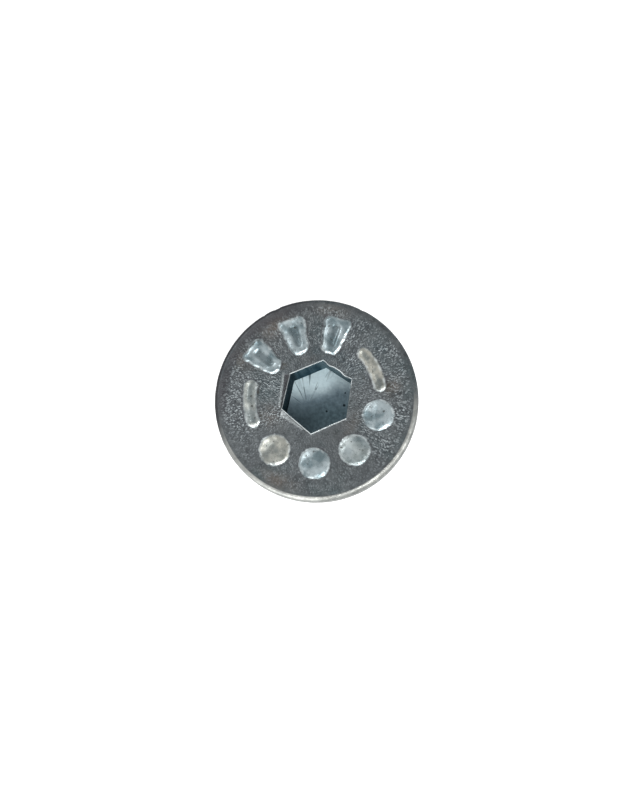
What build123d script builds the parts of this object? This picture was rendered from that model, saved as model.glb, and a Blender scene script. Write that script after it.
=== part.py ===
from build123d import *
import math
import os

# Countersunk socket screw, metric M8 x 16, fully threaded: one forged and thread-rolled piece.
# It stands on its flat thread end with the head up. The origin is the centre of the thread end,
# +Z runs up the axis to the head face, and all sizes are in millimetres.

# Shank and thread
thread_diameter = 8.0
pitch = 1.25
length = 16.0                   # thread end to head face
tip_chamfer = 0.85              # 45 degree chamfer at the thread end
plain_neck = 0.7                # unthreaded shank under the head
neck_fillet = 0.4               # where the seat runs into the shank
runout_length = 0.9             # over which the thread groove rises out of the shank
groove_angle = 60.0             # turn of the groove about the axis

# Head
head_diameter = 15.4
rim_height = 1.26               # cylindrical land round the head
seat_angle = 90.0               # included angle of the countersunk seat
face_bevel = 0.37               # between the land and the head face

# Hexagon socket, punched, with a shallow conical floor
key_size = 5.0                  # across the flats of the key
key_play = 0.02
mouth_bevel = 0.04              # broken edge at the mouth
socket_depth = 3.4              # at the middle of the floor
floor_angle = 164.0             # included angle of the floor
socket_turn = 22.0              # from +X to one corner of the hexagon

# Raised marks on the head face: three pads, four studs and two curved bars
mark_height = 0.20
mark_bevel = 0.12               # round the top of a mark
mark_circle = 4.95              # the marks are centred on this radius
dish_depth = 0.10               # hollow in the top of a pad
dish_border = 0.62              # between the outline of a pad and its dish
pad_length = 2.9                # along the radius
pad_width = 2.3                 # at its outer end
pad_side_angle = 80.0           # between its outer end and its sides
pad_corner = 0.55
pad_first = 73.0                # angle of the first pad, from +X
pad_last = 141.0
pad_count = 3
stud_diameter = 2.4
stud_first = -128.0
stud_last = -16.0
stud_count = 4
bar_width = 0.90
right_bar = (10.5, 42.0)       # angles of the bar's ends, from +X
left_bar = (168.5, 200.0)

# Sizes that follow from those above
thread_radius = thread_diameter / 2
head_radius = head_diameter / 2
tip_radius = thread_radius - tip_chamfer
head_height = rim_height + (head_radius - thread_radius) / math.tan(math.radians(seat_angle / 2))
neck_height = length - head_height
thread_depth = 0.61343 * pitch  # ISO metric thread form
root_radius = thread_radius - thread_depth
crest_width = pitch / 8
overcut = crest_width / 2       # how far the groove tool stands out of the crest
flank = math.tan(math.radians(30.0))
groove_half_root = (pitch - crest_width) / 2 - thread_depth * flank
groove_half_mouth = (pitch - crest_width) / 2 + overcut * flank
runout_angle = math.degrees(math.atan((thread_depth + overcut) / runout_length))
groove_top = neck_height - plain_neck - runout_length
groove_turns = math.ceil(groove_top / pitch) + 1
key_radius = (key_size + key_play) / 2
floor_slope = 1 / math.tan(math.radians(floor_angle / 2))
head_face = Plane.XY.offset(length)
mark_top = Plane.XY.offset(length + mark_height)


def groove_section(height):
    """Outline of the thread groove in the XZ plane, centred on this height."""
    mouth = thread_radius + overcut
    with BuildSketch(Plane.XZ) as outline:
        with BuildLine():
            Polyline(
                (root_radius, height - groove_half_root),
                (mouth, height - groove_half_mouth),
                (mouth, height + groove_half_mouth),
                (root_radius, height + groove_half_root),
                close=True,
            )
        make_face()
    return outline.sketch


def pad_outlines(plane, inset):
    """Outlines of the pads on this plane, drawn in by the inset."""
    with BuildSketch(plane) as outlines:
        with PolarLocations(mark_circle, pad_count, pad_first, pad_last - pad_first, endpoint=True):
            Trapezoid(pad_width - 2 * inset, pad_length - 2 * inset, pad_side_angle, rotation=90)
    return outlines.sketch


# One turn of the thread groove, the uppermost, and its rise out of the shank above that
with BuildPart() as groove:
    with BuildLine() as turn:
        Helix(pitch, pitch, root_radius, center=(0, 0, groove_top - pitch))
    sweep(groove_section(groove_top - pitch), path=turn.line, is_frenet=True)

with BuildPart() as runout:
    with BuildLine() as rise:
        Helix(
            pitch / math.cos(math.radians(runout_angle)),
            runout_length,
            root_radius,
            center=(0, 0, groove_top),
            cone_angle=runout_angle,
        )
    sweep(groove_section(groove_top), path=rise.line, is_frenet=True)

# Punch for the socket: a hexagon cut to a shallow cone at its nose
with BuildPart() as punch:
    with BuildSketch(Plane.XY.offset(length - socket_depth)):
        RegularPolygon(key_radius, 6, major_radius=False, rotation=socket_turn)
    extrude(amount=socket_depth)
    with BuildSketch(Plane.XZ):
        with BuildLine():
            Polyline(
                (0, length),
                (2 * key_radius, length),
                (2 * key_radius, length - socket_depth + 2 * key_radius * floor_slope),
                (0, length - socket_depth),
                close=True,
            )
        make_face()
    revolve(axis=Axis.Z, mode=Mode.INTERSECT)

with BuildPart() as screw:
    # Turned outline of the shank and head
    with BuildSketch(Plane.XZ):
        with BuildLine():
            FilletPolyline(
                (0, 0),
                (tip_radius, 0),
                (thread_radius, tip_chamfer),
                (thread_radius, neck_height),
                (head_radius, length - rim_height),
                (head_radius, length - face_bevel),
                (head_radius - face_bevel, length),
                (0, length),
                radius=(0, 0, neck_fillet, 0, 0, 0),
            )
            Line((0, length), (0, 0))
        make_face()
    revolve(axis=Axis.Z)
    add(punch.part, mode=Mode.SUBTRACT)
    chamfer(faces().sort_by(Axis.Z)[-1].inner_wires().edges(), mouth_bevel)

    # Thread, cut turn by turn down through the thread end
    add(runout.part, rotation=(0, 0, groove_angle), mode=Mode.SUBTRACT)
    for turns_down in range(groove_turns):
        with Locations((0, 0, -turns_down * pitch)):
            add(groove.part, rotation=(0, 0, groove_angle), mode=Mode.SUBTRACT)

    # Raised marks, bevelled round the top, with a dish in each pad
    with BuildSketch(head_face) as marks:
        add(pad_outlines(Plane.XY, 0))
        fillet(marks.vertices(), pad_corner)
        with PolarLocations(mark_circle, stud_count, stud_first, stud_last - stud_first, endpoint=True):
            Circle(stud_diameter / 2)
        for start, end in (right_bar, left_bar):
            SlotArc(Edge.make_circle(mark_circle, start_angle=start, end_angle=end), bar_width)
    extrude(amount=mark_height)
    chamfer(faces().group_by(Axis.Z)[-1].edges(), mark_bevel)
    add(pad_outlines(mark_top, dish_border))
    extrude(amount=-dish_depth, mode=Mode.SUBTRACT)

os.makedirs("parts", exist_ok=True)
screw.part.label = "screw"
export_step(screw.part, "parts/screw.step")
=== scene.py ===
import math

import bpy
import numpy as np
from mathutils import Matrix, Vector


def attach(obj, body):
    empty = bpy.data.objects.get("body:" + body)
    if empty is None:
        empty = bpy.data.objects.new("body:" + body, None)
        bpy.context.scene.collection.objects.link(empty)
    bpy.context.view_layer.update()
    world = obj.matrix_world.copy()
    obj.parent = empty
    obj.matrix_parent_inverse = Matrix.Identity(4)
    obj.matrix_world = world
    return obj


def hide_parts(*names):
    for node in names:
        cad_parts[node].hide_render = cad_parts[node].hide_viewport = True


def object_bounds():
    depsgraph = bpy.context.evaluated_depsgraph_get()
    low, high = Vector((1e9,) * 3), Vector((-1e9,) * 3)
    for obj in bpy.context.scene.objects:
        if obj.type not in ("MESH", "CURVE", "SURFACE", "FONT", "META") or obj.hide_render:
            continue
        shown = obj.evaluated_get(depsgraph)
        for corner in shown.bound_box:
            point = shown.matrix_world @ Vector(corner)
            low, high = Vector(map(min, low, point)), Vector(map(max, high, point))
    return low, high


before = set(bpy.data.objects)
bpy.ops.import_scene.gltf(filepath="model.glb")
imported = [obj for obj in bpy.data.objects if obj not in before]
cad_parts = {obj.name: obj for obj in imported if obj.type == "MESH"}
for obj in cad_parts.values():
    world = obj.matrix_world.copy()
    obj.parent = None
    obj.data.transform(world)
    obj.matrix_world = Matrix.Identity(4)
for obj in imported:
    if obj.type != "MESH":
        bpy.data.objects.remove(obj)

cad_low, cad_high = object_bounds()

# The countersunk socket screw is dressed as one closed mesh, built ring by ring from the middle of the
# socket's floor out over the head face, round the rim and down the seat and the thread. Each point carries
# its own paint: how far it belongs to a mark, a painted highlight along an edge, painted shade, the land and
# so on. Shapes are worked out in millimetres and degrees, in the part's own frame, and the mesh is made in
# metres.

# ---------------------------------------------------------------- sizes of the screw
MARK_TOP = 0.20                 # height of the solid's marks over the head face
HEAD_R = round(1000.0 * cad_high[0], 3)
LENGTH = round(1000.0 * cad_high[2] - MARK_TOP, 3)
RIM = 1.26                      # cylindrical land round the head
FACE_BEVEL = 0.37
SHANK_R = 4.0
PITCH = 1.25
THREAD_DEPTH = 0.61343 * PITCH
FLANK = math.tan(math.radians(30.0))
GROOVE_HALF_ROOT = (PITCH - PITCH / 8) / 2 - THREAD_DEPTH * FLANK
ROOT_R = SHANK_R - THREAD_DEPTH
TIP_CHAMFER = 0.85
NECK_PLAIN = 0.7
NECK_ROUND = 0.4
RUNOUT = 0.9                    # over which the groove rises out of the shank
GROOVE_TURN = 60.0
NECK_Z = LENGTH - RIM - (HEAD_R - SHANK_R)
NECK_TANGENT = NECK_ROUND * math.tan(math.radians(22.5))
GROOVE_TOP = NECK_Z - NECK_PLAIN - RUNOUT
THREAD_TOP = NECK_Z - NECK_PLAIN + 0.25
END_R = SHANK_R - TIP_CHAMFER

# socket; the punch leaves it a little off the axis, with each corner astray by its own amount
KEY_R = 2.51
HALF_SIDE = math.tan(math.radians(30.0))     # of the hexagon, where the middle of a side lies at 1
SOCKET_TURN = 22.0
SOCKET_DEPTH = 3.4
FLOOR_SLOPE = math.tan(math.radians(8.0))
MOUTH_BEVEL = 0.04
SOCKET_AT = (0.13, 0.256)
CORNER_PLAY = ((-0.105, 0.155), (0.03, -0.195), (0.24, -0.10), (0.03, 0.115), (-0.075, -0.01), (-0.115, 0.04))
# strength of the painted highlight along the lip
LIP_BRIGHT = (1.1, 1.05, 0.42, 1.15, 1.1, 0.10)     # of each side, from the first corner on

# raised marks: three keystone pads, four studs and two curved bars, a little off the axis as well
MARK_H = 0.19
MARK_CIRCLE = 4.95
MARKS_AT = (-0.05, 0.08)
PADS = np.linspace(73.0, 141.0, 3)
PAD_HALF_LENGTH = 1.45
PAD_HALF_WIDTH = 1.15           # at the outer end
PAD_TAPER = 10.0
STUDS = np.linspace(-128.0, -16.0, 4)
STUD_R = 1.2
BARS = ((10.5, 42.0), (168.5, 200.0))     # angles of each bar's ends
BAR_W = 1.03

# mesh
FINE = 576                      # columns round the socket and the head
COARSE = 288                    # columns round the seat, the shank and the thread
# columns and places of the rings of the socket's floor, as shares of the way out to its walls
FLOOR_RINGS = (
    (FINE // 8, (0.12, 0.2)),
    (FINE // 4, (0.3, 0.4, 0.5)),
    (FINE // 2, (0.6, 0.7, 0.8, 0.88)),
    (FINE, (0.95, 1.0)),
)
FACE_ROWS = 61
BEVEL_ROWS = 8
WALL_ROWS = 11
LAND_ROWS = 9
SEAT_ROWS = 18
TURNS_DOWN = 9                  # turns of the groove below the uppermost one
# heights of a column's points about the middle of each turn of the groove
PROFILE = (-0.56, -0.5, -0.33, -0.15, -0.075, 0.075, 0.15, 0.33, 0.5, 0.56, 0.625)
# what the mesh carries for the material
PAINT = (
    "raised", "edge", "dark", "warm", "dish", "grit", "dirt", "tan", "cold",
    "rub", "land", "wall", "floor", "thread",
)

# stage, in metres and degrees: the camera looks almost straight down on the head face
FLOOR_HALF = 1.2
LIT_HEIGHT = 0.012              # of the point on the axis that the lamps face
LAMP_DISTANCE = 0.30
FOCAL = 71.0                    # of the lens, in millimetres
CAMERA_TILT = 11.0              # off the screw's axis
CAMERA_TURN = -61.0             # the side to which it leans, from +X
CAMERA_DISTANCE = 0.118452
AIM_LEFT = 0.000495             # the camera aims a little beside the middle of the head face
AIM_DOWN = 0.000068


# ---------------------------------------------------------------- seeded noise and shaping
def lattice(ix, iy, iz, seed):
    """A value from -1 to 1 for each whole-numbered place."""
    h = (ix * 374761393 + iy * 668265263 + iz * 2147483647 + seed * 1274126177) & 0xFFFFFFFF
    h = ((h ^ (h >> 13)) * 1274126177) & 0xFFFFFFFF
    h = ((h ^ (h >> 16)) * 2246822519) & 0xFFFFFFFF
    h = h ^ (h >> 15)
    return (h & 0xFFFFFF) / float(0x7FFFFF) - 1.0


def noise(p, freq, seed):
    """Smooth noise at the points p, with this many cells a millimetre."""
    q = p * freq + 1000.0
    i = np.floor(q).astype(np.int64)
    f = q - i
    u = f * f * (3 - 2 * f)
    total = np.zeros(p.shape[:-1])
    for dx in (0, 1):
        wx = u[..., 0] if dx else 1 - u[..., 0]
        for dy in (0, 1):
            wy = u[..., 1] if dy else 1 - u[..., 1]
            for dz in (0, 1):
                wz = u[..., 2] if dz else 1 - u[..., 2]
                total += wx * wy * wz * lattice(i[..., 0] + dx, i[..., 1] + dy, i[..., 2] + dz, seed)
    return total


def layered(p, freq, octaves, seed, gain=0.5):
    """Layers of noise, each finer and weaker than the last."""
    total = np.zeros(p.shape[:-1])
    amp, norm = 1.0, 0.0
    for octave in range(octaves):
        total += amp * noise(p, freq * 2.03 ** octave, seed + 17 * octave)
        norm += amp
        amp *= gain
    return total / norm


def step(a, b, x):
    """Rises smoothly from 0 at a to 1 at b."""
    t = np.clip((x - a) / (b - a), 0.0, 1.0)
    return t * t * (3 - 2 * t)


def hill(centre, half, x):
    return step(0.0, 1.0, 1.0 - np.abs(x - centre) / half)


def bell(centre, width, x):
    return np.exp(-((x - centre) / width) ** 2)


def gap_deg(a, b):
    """Angle from b to a, between -180 and 180."""
    return (a - b + 180.0) % 360.0 - 180.0


def polar(theta, r):
    a = np.radians(theta)
    return r * np.cos(a), r * np.sin(a)


def on_ring(theta, r, z):
    x, y = polar(theta, r)
    return np.stack([x, y, z + 0 * x], -1)


def flat_points(x, y):
    return np.stack([x, y, 0 * x], -1)


# ---------------------------------------------------------------- shell
class Shell:
    """Collects rings of points, with the paint on each, and the faces between them."""

    def __init__(self):
        self.points, self.paint, self.faces = [], [], []
        self.count = 0
        self.last = None

    def ring(self, x, y, z, **paint):
        n = len(x)
        self.points.append(np.stack([x, y, z], -1))
        row = np.zeros((n, len(PAINT)))
        for i, key in enumerate(PAINT):
            row[:, i] = paint.get(key, 0.0)
        self.paint.append(row)
        start = self.count
        self.count += n
        return start, n

    def add(self, x, y, z, **paint):
        """Adds the next ring on the way from the socket to the thread end, joined to the last one."""
        now = self.ring(x, y, z, **paint)
        if now[1] == 2 * self.last[1]:
            self.join_half(now, self.last, True)
        elif 2 * now[1] == self.last[1]:
            self.join_half(self.last, now, False)
        else:
            self.join(self.last, now)
        self.last = now

    def join(self, a, b):
        """Quads between two rings of the same count; a is the inner or upper ring."""
        (sa, n), (sb, _) = a, b
        j = np.arange(n)
        k = (j + 1) % n
        self.faces += np.stack([sa + j, sb + j, sb + k, sa + k], -1).tolist()

    def join_half(self, fine, coarse, coarse_first):
        """Joins a ring to one of half as many points."""
        (sa, n), (sb, m) = fine, coarse
        for j in range(m):
            a0, a1, a2 = sa + 2 * j, sa + 2 * j + 1, sa + (2 * j + 2) % n
            b0, b1 = sb + j, sb + (j + 1) % m
            if coarse_first:
                self.faces += [[b0, a0, a1], [b0, a1, b1], [b1, a1, a2]]
            else:
                self.faces += [[a0, b0, a1], [a1, b0, b1], [a1, b1, a2]]

    def cap(self, a, x, y, z, up, **paint):
        """Closes a ring with one point in its middle."""
        sa, n = a
        centre, _ = self.ring(np.array([x]), np.array([y]), np.array([z]), **paint)
        for j in range(n):
            k = (j + 1) % n
            self.faces.append([centre, sa + j, sa + k] if up else [sa + j, centre, sa + k])


def angles(n):
    return SOCKET_TURN + 360.0 * np.arange(n) / n


# ---------------------------------------------------------------- outline of the socket
def side_of(theta):
    """For an angle: the outward direction of its side of the hexagon and the angle off it."""
    local = (theta - SOCKET_TURN) % 360.0
    k = np.floor(local / 60.0)
    normal = SOCKET_TURN + 30.0 + 60.0 * k
    return normal % 360.0, local - 60.0 * k - 30.0


def hex_radius(theta, flat=KEY_R):
    _, off = side_of(theta)
    return flat / np.cos(np.radians(off))


def corner_play(theta):
    """How far the punched outline strays from a true hexagon, straight from corner to corner."""
    _, off = side_of(theta)
    k = np.floor(((theta - SOCKET_TURN) % 360.0) / 60.0).astype(int)
    t = 0.5 + 0.5 * np.tan(np.radians(off)) / HALF_SIDE
    play = np.array(CORNER_PLAY)
    here = play[k % 6] * (1 - t)[:, None] + play[(k + 1) % 6] * t[:, None]
    return here[:, 0], here[:, 1]


def about_socket(theta, r, share=1.0):
    x, y = polar(theta, r)
    play_x, play_y = corner_play(theta)
    return x + SOCKET_AT[0] + share * play_x, y + SOCKET_AT[1] + share * play_y


def socket_corner(k):
    x, y = polar(SOCKET_TURN + 60.0 * k, KEY_R / math.cos(math.radians(30.0)))
    return x + SOCKET_AT[0] + CORNER_PLAY[k][0], y + SOCKET_AT[1] + CORNER_PLAY[k][1]


def near_socket(x, y):
    """Outward distance from the nearest side, the place along it from its middle, and its direction."""
    out, along, normal = np.full_like(x, -9.0), np.zeros_like(x), np.zeros_like(x)
    for k in range(6):
        (ax, ay), (bx, by) = socket_corner(k), socket_corner((k + 1) % 6)
        length = math.hypot(bx - ax, by - ay)
        ux, uy = (bx - ax) / length, (by - ay) / length
        here = (x - ax) * uy - (y - ay) * ux
        nearest = here > out
        out = np.where(nearest, here, out)
        along = np.where(nearest, (x - ax) * ux + (y - ay) * uy - length / 2, along)
        normal = np.where(nearest, (SOCKET_TURN + 30.0 + 60.0 * k) % 360.0, normal)
    return out, along, normal


# ---------------------------------------------------------------- marks on the face
def mark_frame(x, y, angle):
    """Places of points seen from the centre of a mark: outward, and across."""
    c, s = math.cos(math.radians(angle)), math.sin(math.radians(angle))
    return x * c + y * s - MARK_CIRCLE, -x * s + y * c


def keystone(x, y, angle, inset, corner, taper):
    """Depth inside a rounded keystone with its wider end outward; negative outside it."""
    radial, across = mark_frame(x, y, angle)
    tilt = math.radians(taper)
    middle = PAD_HALF_WIDTH - PAD_HALF_LENGTH * math.tan(math.radians(PAD_TAPER)) - inset
    side = (np.abs(across) - middle - radial * math.tan(tilt)) * math.cos(tilt) + corner
    end = np.abs(radial) - (PAD_HALF_LENGTH - inset) + corner
    return corner - np.minimum(np.maximum(side, end), 0.0) - np.hypot(np.maximum(side, 0), np.maximum(end, 0))


def bar_depth(x, y, ends):
    """Depth inside a bar that follows the marks' circle from one angle to another."""
    middle, half = 0.5 * (ends[0] + ends[1]), 0.5 * (ends[1] - ends[0])
    from_end = np.full_like(x, 1e9)
    for end in ends:
        end_x, end_y = polar(end, MARK_CIRCLE)
        from_end = np.minimum(from_end, np.hypot(x - end_x, y - end_y))
    beside = np.abs(gap_deg(np.degrees(np.arctan2(y, x)), middle)) <= half
    return BAR_W / 2 - np.where(beside, np.abs(np.hypot(x, y) - MARK_CIRCLE), from_end)


class Marks:
    """Height of the marks over the face at each point, and the paint that goes with them."""

    def __init__(self, x, y):
        x, y = x - MARKS_AT[0], y - MARKS_AT[1]
        p = flat_points(x, y)
        self.height, self.raised, self.dish, self.warm = (np.zeros_like(x) for _ in range(4))
        self.depth = np.full_like(x, -9.0)
        self.wobble = 0.045 * noise(p, 3.6, 11) + 0.03 * noise(p, 7.5, 12)
        self.lump = layered(p, 1.6, 2, 21)
        for angle, warmth in zip(PADS, (-0.6, -0.2, -0.35)):
            self.pad(x, y, angle, warmth)
        for angle, warmth in zip(STUDS, (0.8, -0.4, 0.35, -0.5)):
            self.stud(x, y, angle, warmth)
        for ends, warmth in zip(BARS, (1.0, 0.6)):
            self.bar(x, y, ends, warmth)
        self.height = np.minimum(self.height, MARK_H)
        # painted highlight along the inside of each outline, broken into beads, and a line of painted shade
        # at its foot
        beads = 0.25 + 0.75 * step(-0.35, 0.35, noise(p, 5.2, 22))
        part_lit = 0.5 + 0.5 * step(-0.45, 0.35, noise(p, 1.05, 24))
        self.lit = bell(0.10, 0.075, self.depth) * beads * part_lit
        self.foot = bell(-0.045, 0.06, self.depth) * (0.35 + 0.65 * step(-0.3, 0.5, noise(p, 1.6, 23)))

    def raise_to(self, depth, height, lumpiness, warmth):
        height = height + lumpiness * self.lump * step(0.05, 0.3, depth)
        self.height = np.maximum(self.height, np.where(depth > -0.02, height, 0))
        self.raised = np.maximum(self.raised, step(-0.03, 0.08, depth))
        self.depth = np.maximum(self.depth, depth)
        self.warm += step(-0.05, 0.1, depth) * warmth

    def pad(self, x, y, angle, warmth):
        depth = keystone(x, y, angle, 0.0, 0.5, PAD_TAPER) - self.wobble
        inner = keystone(x, y, angle, 0.54, 0.30, 4.0) - 0.6 * self.wobble
        body = step(0.0, 0.17, depth) * (0.88 + 0.12 * step(0.1, 0.45, depth))
        hollow = step(-0.05, 0.22, inner)
        # the dish paint is painted shade in the pad's hollow
        self.dish = np.maximum(self.dish, hollow)
        self.raise_to(depth, 0.86 * MARK_H * body - 0.10 * hollow, 0.045, warmth)

    def stud(self, x, y, angle, warmth):
        r = np.hypot(*mark_frame(x, y, angle))
        depth = STUD_R - r - self.wobble
        dome = np.clip(1 - (r / STUD_R) ** 2, 0, 1)
        self.raise_to(depth, MARK_H * (0.26 * step(0.0, 0.2, depth) + 0.74 * dome), 0.035, warmth)

    def bar(self, x, y, ends, warmth):
        depth = bar_depth(x, y, ends) - 0.8 * self.wobble
        round_top = np.sqrt(np.clip(depth / 0.42, 0, 1)) * step(0.0, 0.1, depth)
        # here the dish paint is painted shade along the middle of the bar's rounded top, in patches
        self.dish = np.maximum(self.dish, 0.7 * step(0.24, 0.42, depth) * step(-0.2, 0.3, self.lump))
        self.raise_to(depth, 0.92 * MARK_H * round_top, 0.035, warmth)


# ---------------------------------------------------------------- socket
def floor_ring(n, share):
    """A ring of the socket's floor, this share of the way out to the walls."""
    theta = angles(n)
    r = hex_radius(theta) * share
    x, y = about_socket(theta, r, share)
    z = LENGTH - SOCKET_DEPTH + r * FLOOR_SLOPE
    z = z + 0.012 * layered(np.stack([x, y, z], -1), 1.6, 2, 61) * (1 - share ** 6)
    return x, y, z


def make_floor(shell):
    shell.last = shell.ring(*floor_ring(FINE // 8, 0.05), floor=1.0)
    shell.cap(shell.last, *SOCKET_AT, LENGTH - SOCKET_DEPTH + 0.02, True, floor=1.0)
    for n, shares in FLOOR_RINGS:
        for share in shares:
            shell.add(*floor_ring(n, share), floor=1.0)
    return shell.last


class Mouth:
    """What the punch left round the mouth of the socket, worked out once for the walls and the face."""

    def __init__(self, theta):
        self.hexagon = hex_radius(theta)
        side, off_side = side_of(theta)
        # burrs stand into the mouth along one side
        burr = -0.10 * bell(18.0, 6.5, off_side) - 0.12 * bell(-19.0, 8.0, off_side)
        self.wave = 0.014 * layered(on_ring(theta, self.hexagon, 0), 1.8, 2, 71)
        self.wave = self.wave + burr * hill(52.0, 31.0, side)
        # the thin raised lip is sharp, and carries a painted highlight on most sides, and on the last one
        # only near its end
        number = np.round((side - SOCKET_TURN - 30.0) / 60.0).astype(int) % 6
        self.bright = np.array(LIP_BRIGHT)[number] + 0.6 * step(16.0, 26.0, off_side) * (number == 5)
        self.bright = self.bright * (0.8 + 0.35 * noise(on_ring(theta, self.hexagon, 6), 1.6, 74))
        self.lip = 0.03 + 0.02 * noise(on_ring(theta, self.hexagon, 3), 1.3, 73)


def make_walls(shell, theta, mouth):
    foot = LENGTH - SOCKET_DEPTH + mouth.hexagon * FLOOR_SLOPE
    for t in np.linspace(0.06, 1.0, WALL_ROWS):
        z = foot + (LENGTH - MOUTH_BEVEL - foot) * t
        r = mouth.hexagon + 0.006 * noise(on_ring(theta, 9 * mouth.hexagon, 0.6 * z), 1.0, 72)
        x, y = about_socket(theta, r + mouth.wave * step(0.80, 1.0, t))
        shell.add(x, y, z, wall=1.0)
    # the lip, with its painted highlight
    for t in (0.3, 0.65, 1.0):
        x, y = about_socket(theta, hex_radius(theta, KEY_R + MOUTH_BEVEL * (t - 0.6)) + mouth.wave)
        z = LENGTH - MOUTH_BEVEL + (MOUTH_BEVEL + mouth.lip) * math.sin(math.radians(90 * t))
        shell.add(x, y, z, edge=mouth.bright * (0.2 + 0.8 * t), wall=1.0 - t)
    return x, y


# ---------------------------------------------------------------- head face
# soft spots: angle and radius of each, its half-size along and across the radius, and its strength
# dark brown patches beside the marks
DARK_PATCHES = (
    (9.5, 5.50, 0.22, 0.36, 0.9),
    (172.5, 4.42, 0.14, 0.45, 0.95),
    (133.0, 3.55, 0.20, 0.25, 0.8),
    (112.0, 4.05, 0.14, 0.14, 0.6),
    (-101.5, 4.30, 0.13, 0.20, 0.6),
    (-51.0, 3.72, 0.12, 0.20, 0.5),
    (24.0, 3.95, 0.12, 0.30, 0.4),
    (196.0, 4.30, 0.12, 0.30, 0.6),
)
TAN = (
    (118.0, 6.5, 0.8, 1.3, 1.0),
    (-115.0, 6.8, 0.6, 1.3, 0.9),
    (8.0, 5.8, 0.7, 0.6, 0.9),
    (150.0, 6.4, 0.9, 0.9, 0.7),
    (80.0, 6.9, 0.5, 1.4, 0.6),
    (200.0, 3.6, 0.8, 0.9, 0.6),
    (-35.0, 3.3, 0.6, 1.2, 0.5),
    (95.0, 3.5, 0.6, 0.8, 0.5),
)
COLD = (
    (78.0, 3.5, 0.85, 2.2, 1.0),
    (48.0, 6.4, 0.9, 1.8, 0.5),
    (40.0, 3.4, 0.7, 1.2, 0.7),
    (112.0, 3.7, 0.6, 1.0, 0.6),
)


def spots(theta, r, places):
    total = np.zeros_like(r)
    for angle, radius, along, across, strength in places:
        u, v = (r - radius) / along, np.radians(gap_deg(theta, angle)) * r / across
        total = np.maximum(total, strength * np.exp(-(u * u + v * v)))
    return total


def grit(p, theta, r):
    """How thickly the flecks, with their painted glints and shade, lie: most of all on the right and the left
    of the outer ring.
    """
    share = 0.22 + 0.28 * step(110.0, 50.0, np.abs(gap_deg(theta, 95.0)))
    share = np.maximum(share, 0.68 * step(75.0, 40.0, np.abs(gap_deg(theta, 12.0))))
    share = np.maximum(share, 0.60 * step(60.0, 25.0, np.abs(gap_deg(theta, 168.0))))
    share = share * (0.72 + 0.28 * step(3.4, 4.4, r)) * step(7.35, 6.95, r)
    inner = 0.75 * step(50.0, 25.0, np.abs(gap_deg(theta, 178.0))) * step(4.6, 4.2, r)
    return np.maximum(share, inner) * (0.55 + 0.45 * step(-0.35, 0.25, noise(p, 0.8, 36)))


def second_strike(out, along, normal):
    """A shallow second strike of the punch along the left side: its ledge, and the ridge outside that."""
    left = hill(172.0, 8.0, normal) * step(1.40, 1.20, np.abs(along + 0.02))
    reach = 0.26 - 0.10 * along
    ledge = left * step(0.05, 0.09, out) * step(reach + 0.06, reach, out)
    return ledge, left * bell(0.12, 0.075, out - reach)


def pressed_burr(out, along, normal):
    """A burr pressed flat outside the lower left side: its wedge, how bright it is, partly scuffed and partly
    a painted highlight, and a line of painted shade inside it.
    """
    low = hill(232.0, 8.0, normal)
    t = np.clip((along + 1.45) / 2.3, 0, 1)
    width = (0.16 + 0.36 * (1 - t)) * step(-0.02, 0.12, t)
    wedge = low * step(0.10, 0.13, out) * step(width + 0.05, width - 0.02, out) * step(1.0, 0.9, t)
    sheen_and_wear = wedge * (0.16 + 0.20 * step(0.25, 0.12, out) + 0.3 * step(0.3, 0.0, t))
    return wedge, sheen_and_wear, low * bell(0.10, 0.03, out)


def make_face(shell, theta, mouth, mouth_x, mouth_y):
    rim_x, rim_y = polar(theta, HEAD_R - FACE_BEVEL)
    for row in range(1, FACE_ROWS + 1):
        s = row / FACE_ROWS
        x, y = mouth_x * (1 - s) + rim_x * s, mouth_y * (1 - s) + rim_y * s
        r, a = np.hypot(x, y), np.degrees(np.arctan2(y, x))
        p = flat_points(x, y)
        marks = Marks(x, y)
        out, along, normal = near_socket(x, y)
        ledge, ridge = second_strike(out, along, normal)
        wedge, sheen_and_wear, line = pressed_burr(out, along, normal)

        z = 0.9 * mouth.lip * bell(0.04, 0.06, out)
        z += 0.055 * ridge - 0.10 * ledge + wedge * (0.05 + 0.12 * (out - 0.12))
        # forged grain, calmer near the socket and on the marks
        ring = step(3.0, 4.4, r) * step(7.4, 6.9, r)
        grain = 0.011 * layered(p, 3.3, 3, 31, 0.6) + 0.006 * noise(p, 9.0, 33)
        z += grain * (0.45 + 0.55 * ring) * (1 - 0.75 * marks.raised)
        z += 0.02 * noise(p, 0.7, 35) - 0.018 * step(7.1, 7.33, r) + marks.height

        # painted highlights along the lip, on the ridge of the second strike and inside the marks' outlines;
        # the pressed burr is partly scuffed and partly painted bright
        edge = mouth.bright * step(0.085, 0.03, out - mouth.wave) * step(0.6, 0.2, out)
        for highlit in (0.24 * ridge, sheen_and_wear, 0.62 * marks.lit):
            edge = np.maximum(edge, highlit)
        # painted shade: over the upper left of the face near the rim, in the sunken ledge, along the crease
        # inside the pressed burr and at the marks' feet
        dark = 0.85 * step(6.45, 7.0, r) * step(62.0, 30.0, np.abs(gap_deg(a, 142.0)))
        for shade in (ledge, 0.7 * line, 0.85 * marks.foot):
            dark = np.maximum(dark, shade)
        cold = spots(a, r, COLD)
        shell.add(
            x, y, LENGTH + np.minimum(z, MARK_TOP - 0.005),
            raised=marks.raised, edge=edge, dark=dark, warm=marks.warm, dish=marks.dish, cold=cold,
            grit=grit(p, a, r) * (1 - 0.55 * cold), dirt=spots(a, r, DARK_PATCHES), tan=spots(a, r, TAN),
        )
    return z


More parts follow.
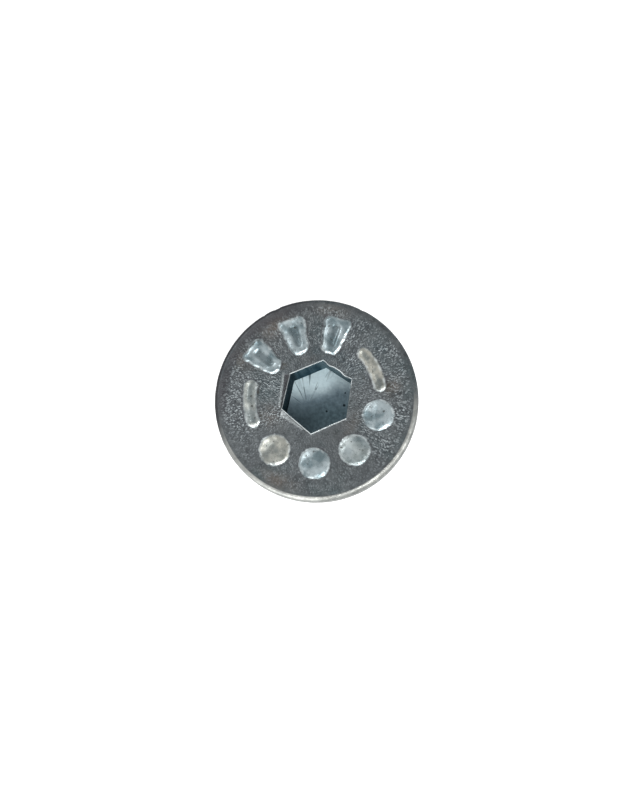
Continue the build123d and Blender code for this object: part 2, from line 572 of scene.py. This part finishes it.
# ---------------------------------------------------------------- rim
# nicks in the edge: angle, half-width in degrees, and depth
NICKS = (
    (113.0, 3.2, 0.07),
    (63.0, 2.4, 0.06),
    (121.0, 1.6, 0.04),
    (-38.0, 1.5, 0.03),
    (-152.0, 2.0, 0.035),
    (12.0, 1.2, 0.03),
    (171.0, 1.4, 0.03),
)


def rim_ring(theta, r, z, amount=1.0):
    """A ring of the rim at one height, with its turned finish."""
    p = on_ring(theta, HEAD_R, z)
    streak = noise(p * (5.0, 5.0, 1.2), 1.0, 41)
    finish = 0.008 * (layered(p, 2.5, 3, 42) - 0.6) + 0.004 * (streak - 0.8)
    return polar(theta, np.minimum(r + amount * finish, HEAD_R - 0.001))


def make_rim(shell, theta, face_z):
    """The rounded edge, with a painted highlight over the lower side and painted shade over the upper left
    and faintly elsewhere, and the land.
    """
    # the side that carries the painted highlight
    highlit = step(92.0, 60.0, np.abs(gap_deg(theta, -79.0)))
    highlit = np.clip(highlit * (0.9 + 0.3 * noise(on_ring(theta, HEAD_R, 0), 1.1, 44)), 0, 1)
    # painted shade, strong on the upper left
    plated = (1 - highlit) * (0.05 + 0.95 * step(62.0, 38.0, np.abs(gap_deg(theta, 145.0))))
    dent = np.zeros(FINE)
    for angle, half, depth in NICKS:
        dent = np.maximum(dent, depth * hill(0.0, half, gap_deg(theta, angle)))
    for row in range(1, BEVEL_ROWS + 1):
        s = row / BEVEL_ROWS
        a = math.radians(90.0 * s)
        r = HEAD_R - FACE_BEVEL * (1 - math.sin(a)) - 0.7 * dent * math.sin(a)
        x, y = rim_ring(theta, r, LENGTH, math.sin(a))
        z = LENGTH - FACE_BEVEL * (1 - math.cos(a)) + face_z * (1 - s) - 0.6 * dent * math.cos(a)
        # under the painted highlight the land's colour reaches further up the edge
        land = highlit * step(0.55, 0.95, s) + (1 - highlit) * step(0.94, 1.1, s)
        shell.add(x, y, z, rub=highlit * step(0.95, 0.55, s), dark=plated * step(-0.2, 0.4, s), land=land)
    for z in np.linspace(LENGTH - FACE_BEVEL - 0.1, LENGTH - RIM + 0.05, LAND_ROWS):
        shell.add(*rim_ring(theta, HEAD_R, z), np.full(FINE, z), land=1.0)
    shell.add(*rim_ring(theta, HEAD_R - 0.02, LENGTH - RIM), np.full(FINE, LENGTH - RIM), land=1.0)


# ---------------------------------------------------------------- seat and neck
def turned(shell, theta, r, z, **paint):
    """A ring of a turned surface, with the forging's slight unevenness."""
    uneven = 0.01 * (layered(on_ring(theta, r, z), 1.3, 3, 51) - 0.7)
    shell.add(*polar(theta, r + uneven), np.full(COARSE, z), thread=1.0, **paint)


def make_seat(shell, theta):
    cone_end = SHANK_R + NECK_TANGENT * math.sin(math.radians(45.0))
    for r in np.linspace(HEAD_R - 0.07, cone_end, SEAT_ROWS):
        turned(shell, theta, r, NECK_Z + (r - SHANK_R))
    # painted shade round the neck's rounding and on the plain shank below it
    for angle in np.linspace(45.0, 0.0, 6)[1:]:
        a = math.radians(angle)
        r = SHANK_R + NECK_ROUND * (1 - math.cos(a))
        turned(shell, theta, r, NECK_Z - NECK_TANGENT + NECK_ROUND * math.sin(a), dark=0.35)
    turned(shell, theta, SHANK_R, THREAD_TOP, dark=0.35)


# ---------------------------------------------------------------- thread
def soft_min(a, b, k):
    h = np.clip(0.5 + 0.5 * (b - a) / k, 0, 1)
    return b * (1 - h) + a * h - k * h * (1 - h)


def groove_height(theta):
    """Height of the middle of the groove's uppermost turn at an angle, before it runs out."""
    return GROOVE_TOP - PITCH + PITCH * ((theta - GROOVE_TURN) % 360.0) / 360.0


def shank_radius(theta, z):
    """Radius of the threaded shank: a crest and a chamfered end, and softly rounded grooves."""
    r = soft_min(np.full_like(z, SHANK_R), END_R + z, 0.05)
    for turn in range(-TURNS_DOWN, 2):
        centre = groove_height(theta) + turn * PITCH
        rise = max(centre - GROOVE_TOP, 0.0) / RUNOUT
        if rise <= 1.05:
            flank = (np.abs(z - centre) - GROOVE_HALF_ROOT) / FLANK
            groove = ROOT_R + (THREAD_DEPTH + 0.08) * rise + 0.5 * (flank + np.sqrt(flank ** 2 + 0.06 ** 2))
            r = soft_min(r, groove, 0.07)
    return r


def thread_column(theta):
    """Heights of one column's points, from the top down: close together where the profile turns."""
    turns = PITCH * np.arange(-TURNS_DOWN, 3)
    z = (groove_height(theta) + turns[:, None] + np.array(PROFILE)[None, :]).ravel()
    z = z[(z < THREAD_TOP - 0.05) & (z > 0.06)]
    for level in (TIP_CHAMFER, 0.03):
        z = z[np.abs(z - level) > 0.035]
    return np.sort(np.concatenate([z, (TIP_CHAMFER, 0.03)]))[::-1]


def join_columns(shell, a, a_z, b, b_z):
    """Triangles between two neighbouring columns of points that don't lie at the same heights."""
    m, n = 0, 0
    while m < len(a) - 1 or n < len(b) - 1:
        if n == len(b) - 1 or (m < len(a) - 1 and a_z[m + 1] >= b_z[n + 1]):
            shell.faces.append([a[m], a[m + 1], b[n]])
            m += 1
        else:
            shell.faces.append([a[m], b[n + 1], b[n]])
            n += 1


def make_thread(shell, theta):
    upper = shell.last[0]
    heights = [thread_column(angle) for angle in theta]
    firsts = shell.count + np.concatenate([[0], np.cumsum([len(z) for z in heights])])
    z = np.concatenate(heights)
    around = np.repeat(theta, [len(column) for column in heights])
    r = np.concatenate([shank_radius(angle, column) for angle, column in zip(theta, heights)])
    uneven = 0.006 * (layered(on_ring(around, r, z), 2.2, 2, 81) - 0.6)
    # paler paint on the crests, and painted shade in the roots and on the plain shank below the neck
    crest = step(SHANK_R - 0.16, SHANK_R - 0.03, r) * step(GROOVE_TOP + 0.7, GROOVE_TOP + 0.1, z)
    root = step(ROOT_R + 0.25, ROOT_R + 0.03, r) + 0.35 * step(GROOVE_TOP + 0.1, GROOVE_TOP + 0.9, z)
    shell.ring(*polar(around, r + uneven), z, thread=1.0, edge=0.5 * crest, dark=0.7 * root)
    shell.last = shell.ring(*polar(theta, END_R - 0.01), np.zeros(COARSE), thread=1.0)
    lower = shell.last[0]
    columns = []
    for j in range(COARSE):
        places = [upper + j, *range(firsts[j], firsts[j + 1]), lower + j]
        columns.append((places, [THREAD_TOP, *heights[j], 0.0]))
    for j in range(COARSE):
        join_columns(shell, *columns[j], *columns[(j + 1) % COARSE])
    for r in (END_R - 0.12, 2.3, 1.5):
        shell.add(*polar(theta, r), np.zeros(COARSE), thread=1.0)
    shell.cap(shell.last, 0.0, 0.0, 0.0, False, thread=1.0)


# ---------------------------------------------------------------- the mesh
def build_shell():
    """The whole screw, and the ring of points between the socket's floor and its walls."""
    shell = Shell()
    fine, coarse = angles(FINE), angles(COARSE)
    mouth = Mouth(fine)
    floor_edge = make_floor(shell)
    mouth_x, mouth_y = make_walls(shell, fine, mouth)
    face_z = make_face(shell, fine, mouth, mouth_x, mouth_y)
    make_rim(shell, fine, face_z)
    make_seat(shell, coarse)
    make_thread(shell, coarse)
    return shell, floor_edge


def inside_cad_box(points):
    """Keeps the points just inside the rim's radius and between the ends of the CAD box."""
    r = np.hypot(points[:, 0], points[:, 1])
    points[:, :2] *= np.minimum(1.0, (HEAD_R - 0.0005) / np.maximum(r, 1e-9))[:, None]
    points[:, 2] = np.clip(points[:, 2], 1000.0 * cad_low[2], 1000.0 * cad_high[2])
    return points


def make_screw():
    shell, floor_edge = build_shell()
    points = inside_cad_box(np.concatenate(shell.points)) / 1000.0
    mesh = bpy.data.meshes.new("countersunk_screw")
    mesh.from_pydata(points.tolist(), [], [list(map(int, face)) for face in shell.faces])
    mesh.update()
    mesh.shade_smooth()
    paint = np.concatenate(shell.paint).astype(np.float32)
    for i, key in enumerate(PAINT):
        layer = mesh.attributes.new("paint_" + key, "FLOAT", "POINT")
        layer.data.foreach_set("value", paint[:, i])
    # the foot of the socket's walls is a sharp corner
    ends = np.zeros(len(mesh.edges) * 2, dtype=np.int64)
    mesh.edges.foreach_get("vertices", ends)
    on_foot = (ends >= floor_edge[0]) & (ends < floor_edge[0] + floor_edge[1])
    sharp = mesh.attributes.new("sharp_edge", "BOOLEAN", "EDGE")
    sharp.data.foreach_set("value", on_foot.reshape(-1, 2).all(1))
    screw = bpy.data.objects.new("countersunk_screw", mesh)
    bpy.context.scene.collection.objects.link(screw)
    return screw


# ---------------------------------------------------------------- shader nodes
class Nodes:
    """A node tree, with a short call for each kind of node used here."""

    def __init__(self, tree):
        self.tree = tree
        self.tree.nodes.clear()

    def new(self, kind, **settings):
        made = self.tree.nodes.new(kind)
        for key, value in settings.items():
            setattr(made, key, value)
        return made

    def put(self, socket, value):
        """Joins a socket to another, or sets its number or colour."""
        if isinstance(value, bpy.types.NodeSocket):
            self.tree.links.new(value, socket)
        elif hasattr(value, "__len__") and len(value) == 3 and socket.type == "RGBA":
            socket.default_value = (*value, 1.0)
        else:
            socket.default_value = value

    def math(self, how, a, b=0.0):
        made = self.new("ShaderNodeMath", operation=how)
        self.put(made.inputs[0], a)
        self.put(made.inputs[1], b)
        return made.outputs[0]

    def mix(self, share, a, b):
        made = self.new("ShaderNodeMix", data_type="RGBA")
        self.put(made.inputs[0], share)
        self.put(made.inputs[6], a)
        self.put(made.inputs[7], b)
        return made.outputs[2]

    def vector(self, how, a, b=None):
        made = self.new("ShaderNodeVectorMath", operation=how)
        self.put(made.inputs[0], a)
        if b is not None:
            self.put(made.inputs[1], b)
        return made.outputs["Value" if how in ("LENGTH", "DOT_PRODUCT") else "Vector"]

    def upright(self, z):
        made = self.new("ShaderNodeCombineXYZ")
        self.put(made.inputs["Z"], z)
        return made.outputs[0]

    def noise(self, where, scale, detail=2.0, rough=0.5, distort=0.0, color=False):
        made = self.new("ShaderNodeTexNoise")
        self.put(made.inputs["Vector"], where)
        self.put(made.inputs["Scale"], scale)
        self.put(made.inputs["Detail"], detail)
        self.put(made.inputs["Roughness"], rough)
        self.put(made.inputs["Distortion"], distort)
        return made.outputs["Color" if color else 0]

    def ramp(self, value, low, high, out_low=0.0, out_high=1.0):
        """Goes smoothly from one value to another; it may also fall, with low above high."""
        made = self.new("ShaderNodeMapRange", interpolation_type="SMOOTHSTEP")
        for k, v in enumerate((value, low, high, out_low, out_high)):
            self.put(made.inputs[k], v)
        return made.outputs[0]

    def paint(self, key):
        return self.new("ShaderNodeAttribute", attribute_name="paint_" + key).outputs["Fac"]

    def stretch(self, where, scale):
        made = self.new("ShaderNodeMapping")
        self.put(made.inputs["Vector"], where)
        made.inputs["Scale"].default_value = scale
        return made.outputs[0]

    def seen_directly(self):
        """1 for what is seen, also in a mirror or through glass, and 0 for the light that it gives."""
        path = self.new("ShaderNodeLightPath")
        mirrored = self.math("MAXIMUM", path.outputs["Is Glossy Ray"], path.outputs["Is Transmission Ray"])
        return self.math("MAXIMUM", path.outputs["Is Camera Ray"], mirrored)


# ---------------------------------------------------------------- zinc-plated steel
class Finish(Nodes):
    """The screw's one material: plated steel whose look follows the paint on the mesh."""

    def __init__(self, tree):
        super().__init__(tree)
        self.coords = self.new("ShaderNodeTexCoord").outputs["Object"]
        self.mm = self.stretch(self.coords, (1000.0, 1000.0, 1000.0))
        self.flat = self.stretch(self.coords, (1000.0, 1000.0, 0.0))
        self.around = self.vector("NORMALIZE", self.flat)
        self.grain = self.noise(self.mm, 4.6, 3.0, 0.65)
        self.fine = self.noise(self.mm, 9.5, 2.0, 0.6)
        self.streak = self.noise(self.stretch(self.coords, (6500.0, 6500.0, 1500.0)), 1.0, 3.0, 0.6)
        self.painted = {key: self.paint(key) for key in PAINT}

    def share(self, key, amount):
        return self.math("MULTIPLY", self.painted[key], amount)

    def toward(self, x, y):
        """Distance in millimetres from the axis in one direction."""
        return self.vector("DOT_PRODUCT", self.flat, (x, y, 0.0))


def plating(f):
    """Head face: dark grey plating in cold and brownish patches, speckled by the grain."""
    patch = f.ramp(f.noise(f.mm, 0.24, 2.0, 0.5), 0.36, 0.50, 1.0, 0.0)
    mottle = f.noise(f.mm, 0.8, 2.0, 0.5, 0.6)
    blotch = f.noise(f.mm, 1.7, 3.0, 0.62)
    face = f.mix(patch, (0.075, 0.083, 0.088), (0.063, 0.079, 0.084))
    face = f.mix(f.ramp(mottle, 0.42, 0.62, 0.0, 0.5), face, (0.097, 0.107, 0.111))
    face = f.mix(f.share("tan", f.ramp(mottle, 0.30, 0.55, 0.45, 1.0)), face, (0.104, 0.093, 0.084))
    face = f.mix(f.share("cold", f.ramp(mottle, 0.66, 0.42, 0.45, 0.9)), face, (0.041, 0.058, 0.066))
    face = f.mix(f.ramp(blotch, 0.46, 0.34, 0.0, 0.5), face, (0.036, 0.042, 0.044))
    face = f.mix(f.ramp(blotch, 0.54, 0.70, 0.0, 0.35), face, (0.150, 0.164, 0.166))
    face = f.mix(f.ramp(f.grain, 0.36, 0.56, 0.3, 0.0), face, (0.046, 0.050, 0.053))
    return f.mix(f.ramp(f.fine, 0.54, 0.72, 0.0, 0.35), face, (0.20, 0.215, 0.22))


def cells(f, where, wide, narrow):
    """Small cells of differing strength."""
    made = f.new("ShaderNodeTexVoronoi", feature="F1")
    f.put(made.inputs["Vector"], where)
    made.inputs["Scale"].default_value = 1.0
    parts = f.new("ShaderNodeSeparateColor")
    f.put(parts.inputs[0], made.outputs["Color"])
    shape = f.ramp(made.outputs["Distance"], wide, narrow)
    return f.math("MULTIPLY", shape, f.ramp(parts.outputs[0], 0.15, 0.70))


def flecks(f):
    """Flecks left by the forging: small cells, longer along the radius, each a painted glint beside painted
    shade; they also raise and sink the bump relief.
    """
    outward = f.upright(f.math("MULTIPLY", f.vector("LENGTH", f.flat), 4.7))
    spun = f.vector("ADD", f.vector("MULTIPLY", f.around, (40.0, 40.0, 0.0)), outward)
    stray = f.noise(f.mm, 2.2, 1.0, 0.5, 0.0, True)
    spun = f.vector("ADD", spun, f.vector("MULTIPLY", stray, (1.6, 1.6, 1.6)))
    aside = f.vector("MULTIPLY", f.vector("CROSS_PRODUCT", (0.0, 0.0, 1.0), f.around), (0.5, 0.5, 0.0))
    crumbs = f.noise(spun, 1.25, 1.0, 0.5)
    fleck = f.math("MAXIMUM", cells(f, spun, 0.50, 0.32), f.ramp(crumbs, 0.60, 0.66))
    pit_and_shade = f.math("MAXIMUM", cells(f, f.vector("ADD", spun, aside), 0.62, 0.38), f.ramp(crumbs, 0.42, 0.36))
    return f.share("grit", fleck), f.share("grit", pit_and_shade)


def burnished(f):
    """Raised marks: cool or warm from one to the next, with painted shade in their dishes and along the bars,
    and fine painted glints.
    """
    cloud = f.ramp(f.noise(f.mm, 1.0, 2.0, 0.5), 0.36, 0.64)
    cool = f.mix(cloud, (0.125, 0.165, 0.180), (0.310, 0.362, 0.380))
    cloud = f.ramp(f.noise(f.mm, 0.9, 2.0, 0.5), 0.36, 0.64)
    warm = f.mix(cloud, (0.150, 0.160, 0.150), (0.355, 0.355, 0.315))
    mark = f.mix(f.ramp(f.painted["warm"], 0.0, 1.0), cool, warm)
    # painted shade in the dishes
    mark = f.mix(f.share("dish", 0.72), mark, (0.070, 0.094, 0.104))
    mark = f.mix(f.ramp(f.grain, 0.42, 0.32, 0.0, 0.2), mark, (0.085, 0.097, 0.100))
    # fine painted glints
    mark = f.mix(f.ramp(f.fine, 0.62, 0.70, 0.0, 0.12), mark, (0.66, 0.71, 0.73))
    return f.mix(f.ramp(f.noise(f.mm, 2.4, 2.0), 0.66, 0.72, 0.0, 0.75), mark, (0.045, 0.047, 0.044))


def head_face(f, fleck, pit_and_shade):
    # painted shade beside the flecks
    face = f.mix(f.math("MULTIPLY", pit_and_shade, 0.85), plating(f), (0.024, 0.029, 0.033))
    # painted glints on the flecks
    face = f.mix(f.math("MULTIPLY", fleck, 0.9), face, (0.34, 0.378, 0.39))
    color = f.mix(f.painted["raised"], face, burnished(f))
    # dark brown patches beside the marks, broken up by the grain
    color = f.mix(f.share("dirt", f.ramp(f.grain, 0.62, 0.45, 0.2, 1.0)), color, (0.040, 0.036, 0.027))
    # painted shade from the dark paint
    color = f.mix(f.share("dark", 0.8), color, (0.042, 0.041, 0.045))
    # painted highlights along edges and inside the marks' outlines, with some scuffing on the pressed burr,
    # broken up by noise
    sheen_and_wear = f.ramp(f.noise(f.mm, 2.2, 2.0), 0.30, 0.48, 0.6, 1.0)
    return f.mix(f.share("edge", sheen_and_wear), color, (0.74, 0.80, 0.81))


def rim(f, color):
    """Rim: an edge with a painted highlight in part, and a grey land with axial streaks and a painted
    highlight that grows toward the lower left.
    """
    mottle = f.noise(f.mm, 1.6, 3.0, 0.6)
    # painted highlight growing toward the lower left
    pale = f.ramp(f.toward(-0.766, -0.643), 3.5, 7.0, 0.0, 0.6)
    land = f.mix(f.ramp(f.streak, 0.36, 0.64), (0.275, 0.284, 0.270), (0.410, 0.420, 0.400))
    land = f.mix(f.ramp(mottle, 0.52, 0.38, 0.0, 0.4), land, (0.20, 0.207, 0.197))
    color = f.mix(f.painted["land"], color, f.mix(pale, land, (0.56, 0.57, 0.545)))
    # colour of the painted highlight on the edge
    painted_rim_sheen = f.mix(f.ramp(mottle, 0.40, 0.60), (0.20, 0.205, 0.195), (0.30, 0.306, 0.29))
    return f.mix(f.painted["rub"], color, f.mix(pale, painted_rim_sheen, (0.46, 0.47, 0.45)))


def socket_walls(f):
    """Blue-grey walls with broached streaks, with painted shade on the left and a painted highlight at the
    upper right.
    """
    broach = f.noise(f.stretch(f.coords, (3200.0, 3200.0, 260.0)), 1.0, 3.0, 0.6)
    walls = f.mix(f.ramp(broach, 0.40, 0.60), (0.034, 0.080, 0.106), (0.085, 0.148, 0.180))
    # painted shade on the left wall
    left = f.ramp(f.toward(0.99, -0.14), -1.75, -2.05)
    walls = f.mix(f.math("MULTIPLY", left, 0.85), walls, (0.018, 0.034, 0.043))
    # painted highlight on the upper right wall
    upper_right = f.ramp(f.toward(0.616, 0.788), 2.25, 2.50)
    return f.mix(f.math("MULTIPLY", upper_right, 0.85), walls, (0.190, 0.275, 0.310))


def scratched(f, color, fall):
    """Scratches left by the punch, spreading like a fan over the upper part of the floor."""
    fan = f.vector("SUBTRACT", f.flat, (-0.92, -0.1, 0.0))
    way, reach = f.vector("NORMALIZE", fan), f.vector("LENGTH", fan)
    apart = f.upright(f.math("MULTIPLY", reach, 0.55))
    spread = f.vector("ADD", f.vector("MULTIPLY", way, (15.0, 15.0, 0.0)), apart)
    scratch = f.noise(spread, 1.0, 1.0, 0.4, 0.3)
    sector = f.ramp(f.vector("DOT_PRODUCT", way, (-0.26, 0.965, 0.0)), 0.45, 0.80)
    upper = f.math("MULTIPLY", f.ramp(fall, -0.1, 0.8), sector)
    upper = f.math("MULTIPLY", upper, f.ramp(reach, 0.25, 0.8))
    upper = f.math("MULTIPLY", upper, f.ramp(f.noise(f.mm, 1.1, 1.0), 0.34, 0.46, 0.25, 1.0))
    line = f.math("MULTIPLY", f.ramp(scratch, 0.56, 0.68), upper)
    gleam = f.math("MULTIPLY", f.ramp(scratch, 0.40, 0.32), upper)
    color = f.mix(f.math("MULTIPLY", line, 0.75), color, (0.085, 0.115, 0.130))
    return f.mix(f.math("MULTIPLY", gleam, 0.2), color, (0.46, 0.54, 0.55))


def socket_floor(f):
    """Floor: painted shade below and a painted highlight above, with scratches and three specks of grime."""
    uneven = f.math("MULTIPLY", f.math("SUBTRACT", f.noise(f.mm, 0.5, 2.0), 0.5), 1.2)
    # fall runs from the painted shade on the lower side to the painted highlight on the upper side
    fall = f.math("ADD", f.toward(-0.14, 0.990), uneven)
    color = f.mix(f.ramp(fall, -1.1, 1.5), (0.073, 0.109, 0.126), (0.175, 0.231, 0.266))
    color = f.mix(f.ramp(fall, 0.4, 1.75), color, (0.54, 0.645, 0.675))
    color = scratched(f, color, fall)
    for at, size in (((1.98, 0.05, 0.0), 0.095), ((0.62, -0.35, 0.0), 0.075), ((2.05, 1.02, 0.0), 0.05)):
        ragged = f.vector("MULTIPLY", f.noise(f.mm, 5.0, 1.0, 0.5, 0.0, True), (0.1, 0.1, 0.0))
        away = f.vector("LENGTH", f.vector("ADD", f.vector("SUBTRACT", f.flat, at), ragged))
        color = f.mix(f.ramp(away, size * 1.5, size * 0.7), color, (0.010, 0.018, 0.022))
    return color


def shank(f):
    """Seat, neck and thread: grey plating, with painted shade in the roots and round the neck, and paler on
    the crests.
    """
    cloud = f.ramp(f.noise(f.mm, 0.7, 3.0, 0.55), 0.34, 0.66)
    color = f.mix(cloud, (0.22, 0.235, 0.245), (0.33, 0.34, 0.345))
    color = f.mix(f.ramp(f.grain, 0.44, 0.32, 0.0, 0.5), color, (0.15, 0.155, 0.16))
    # painted shade
    color = f.mix(f.share("dark", 0.7), color, (0.10, 0.105, 0.11))
    return f.mix(f.share("edge", 0.8), color, (0.56, 0.57, 0.57))


def roughness(f):
    rough = f.math("ADD", f.ramp(f.grain, 0.3, 0.7, 0.30, 0.46), f.share("edge", -0.10))
    in_socket = f.math("MAXIMUM", f.painted["wall"], f.painted["floor"])
    rough = f.math("ADD", rough, f.math("MULTIPLY", in_socket, 0.25))
    return f.math("SUBTRACT", rough, f.share("raised", 0.06))


def bumps(f, fleck, pit_and_shade):
    """Fine relief of grain, streaks and flecks, calm on the marks and on the socket's floor."""
    height = f.math("ADD", f.math("MULTIPLY", f.grain, 0.7), f.math("MULTIPLY", f.fine, 0.5))
    height = f.math("ADD", height, f.math("MULTIPLY", f.streak, f.share("land", 0.5)))
    height = f.math("ADD", height, f.math("MULTIPLY", f.math("SUBTRACT", fleck, pit_and_shade), 0.6))
    calm = f.math("SUBTRACT", 1.0, f.math("ADD", f.share("floor", 0.75), f.share("raised", 0.82)))
    made = f.new("ShaderNodeBump")
    f.put(made.inputs["Strength"], f.math("MULTIPLY", calm, 0.55))
    made.inputs["Distance"].default_value = 0.00006
    f.put(made.inputs["Height"], height)
    return made.outputs[0]


def zinc_plated_steel():
    material = bpy.data.materials.new("zinc_plated_steel")
    material.use_nodes = True
    f = Finish(material.node_tree)
    fleck, pit_and_shade = flecks(f)
    color = rim(f, head_face(f, fleck, pit_and_shade))
    color = f.mix(f.painted["wall"], color, socket_walls(f))
    color = f.mix(f.painted["floor"], color, socket_floor(f))
    color = f.mix(f.painted["thread"], color, shank(f))
    shader = f.new("ShaderNodeBsdfPrincipled")
    f.put(shader.inputs["Base Color"], color)
    f.put(shader.inputs["Roughness"], roughness(f))
    f.put(shader.inputs["Normal"], bumps(f, fleck, pit_and_shade))
    shader.inputs["Metallic"].default_value = 0.92
    shader.inputs["Specular Tint"].default_value = (0.40, 0.41, 0.42, 1.0)
    shader.inputs["Specular IOR Level"].default_value = 0.3
    f.put(f.new("ShaderNodeOutputMaterial").inputs["Surface"], shader.outputs[0])
    return material


screw = make_screw()
screw.data.materials.append(zinc_plated_steel())
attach(screw, "root")
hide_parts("screw")


# ---------------------------------------------------------------- floor and world
def plain_floor():
    """White where it is seen, with a painted shadow near the screw, and pale grey for the light that it
    gives.
    """
    material = bpy.data.materials.new("plain_floor")
    material.use_nodes = True
    f = Nodes(material.node_tree)
    away = f.vector("LENGTH", f.new("ShaderNodeTexCoord").outputs["Object"])
    matt = f.new("ShaderNodeBsdfDiffuse")
    f.put(matt.inputs["Color"], (0.78, 0.78, 0.78))
    glow = f.new("ShaderNodeEmission")
    f.put(glow.inputs["Color"], (1.0, 1.0, 1.0))
    # the glow is weaker near the screw, a painted shadow
    f.put(glow.inputs["Strength"], f.math("MULTIPLY", f.seen_directly(), f.ramp(away, 0.03, 0.25, 0.45, 1.0)))
    both = f.new("ShaderNodeAddShader")
    f.put(both.inputs[0], matt.outputs[0])
    f.put(both.inputs[1], glow.outputs[0])
    f.put(f.new("ShaderNodeOutputMaterial").inputs["Surface"], both.outputs[0])
    return material


def make_floor_plane():
    corners = [(x * FLOOR_HALF, y * FLOOR_HALF, 0.0) for x, y in ((-1, -1), (1, -1), (1, 1), (-1, 1))]
    mesh = bpy.data.meshes.new("floor")
    mesh.from_pydata(corners, [], [(0, 1, 2, 3)])
    mesh.materials.append(plain_floor())
    plane = bpy.data.objects.new("floor", mesh)
    bpy.context.scene.collection.objects.link(plane)


def make_world():
    """White where it is seen, and a plain light of middling strength elsewhere."""
    world = bpy.data.worlds.new("studio")
    world.use_nodes = True
    f = Nodes(world.node_tree)
    level = f.new("ShaderNodeMapRange")
    f.put(level.inputs["Value"], f.seen_directly())
    level.inputs["To Min"].default_value = 0.55
    level.inputs["To Max"].default_value = 1.0
    back = f.new("ShaderNodeBackground")
    f.put(back.inputs["Color"], (1.0, 1.0, 1.0))
    f.put(back.inputs["Strength"], level.outputs[0])
    f.put(f.new("ShaderNodeOutputWorld").inputs["Surface"], back.outputs[0])
    bpy.context.scene.world = world


# ---------------------------------------------------------------- lights and camera
def soft_box(name, azimuth, elevation, size, power):
    """A round lamp that faces the upper part of the screw; its size is in metres."""
    lamp = bpy.data.lights.new(name, "AREA")
    lamp.shape = "DISK"
    lamp.size = size
    lamp.energy = power
    box = bpy.data.objects.new(name, lamp)
    a, e = math.radians(azimuth), math.radians(elevation)
    way = Vector((math.cos(a) * math.cos(e), math.sin(a) * math.cos(e), math.sin(e)))
    box.location = Vector((0.0, 0.0, LIT_HEIGHT)) + way * LAMP_DISTANCE
    box.rotation_euler = way.to_track_quat("Z", "Y").to_euler()
    bpy.context.scene.collection.objects.link(box)


def make_camera():
    tilt, turn = math.radians(CAMERA_TILT), math.radians(CAMERA_TURN)
    toward = Vector((math.sin(tilt) * math.cos(turn), math.sin(tilt) * math.sin(turn), math.cos(tilt)))
    right = Vector((0, 1, 0)).cross(toward).normalized()
    up = toward.cross(right)
    aim = Vector((0.0, 0.0, LENGTH / 1000.0)) - right * AIM_LEFT - up * AIM_DOWN
    camera = bpy.data.cameras.new("camera")
    camera.lens = FOCAL
    camera.sensor_width = 36.0
    camera.clip_start, camera.clip_end = 0.01, 10.0
    eye = bpy.data.objects.new("camera", camera)
    eye.location = aim + toward * CAMERA_DISTANCE
    eye.rotation_mode = "QUATERNION"
    eye.rotation_quaternion = Matrix((right, up, toward)).transposed().to_quaternion()
    bpy.context.scene.collection.objects.link(eye)
    bpy.context.scene.camera = eye


make_floor_plane()
make_world()
soft_box("front_box", -108.0, 20.0, 0.25, 0.54)
soft_box("side_box", -30.0, 22.0, 0.18, 0.40)
soft_box("back_box", 140.0, 54.0, 0.11, 0.17)
soft_box("key_box", -62.0, 54.0, 0.12, 0.42)
make_camera()
bpy.context.scene.view_settings.view_transform = "Standard"
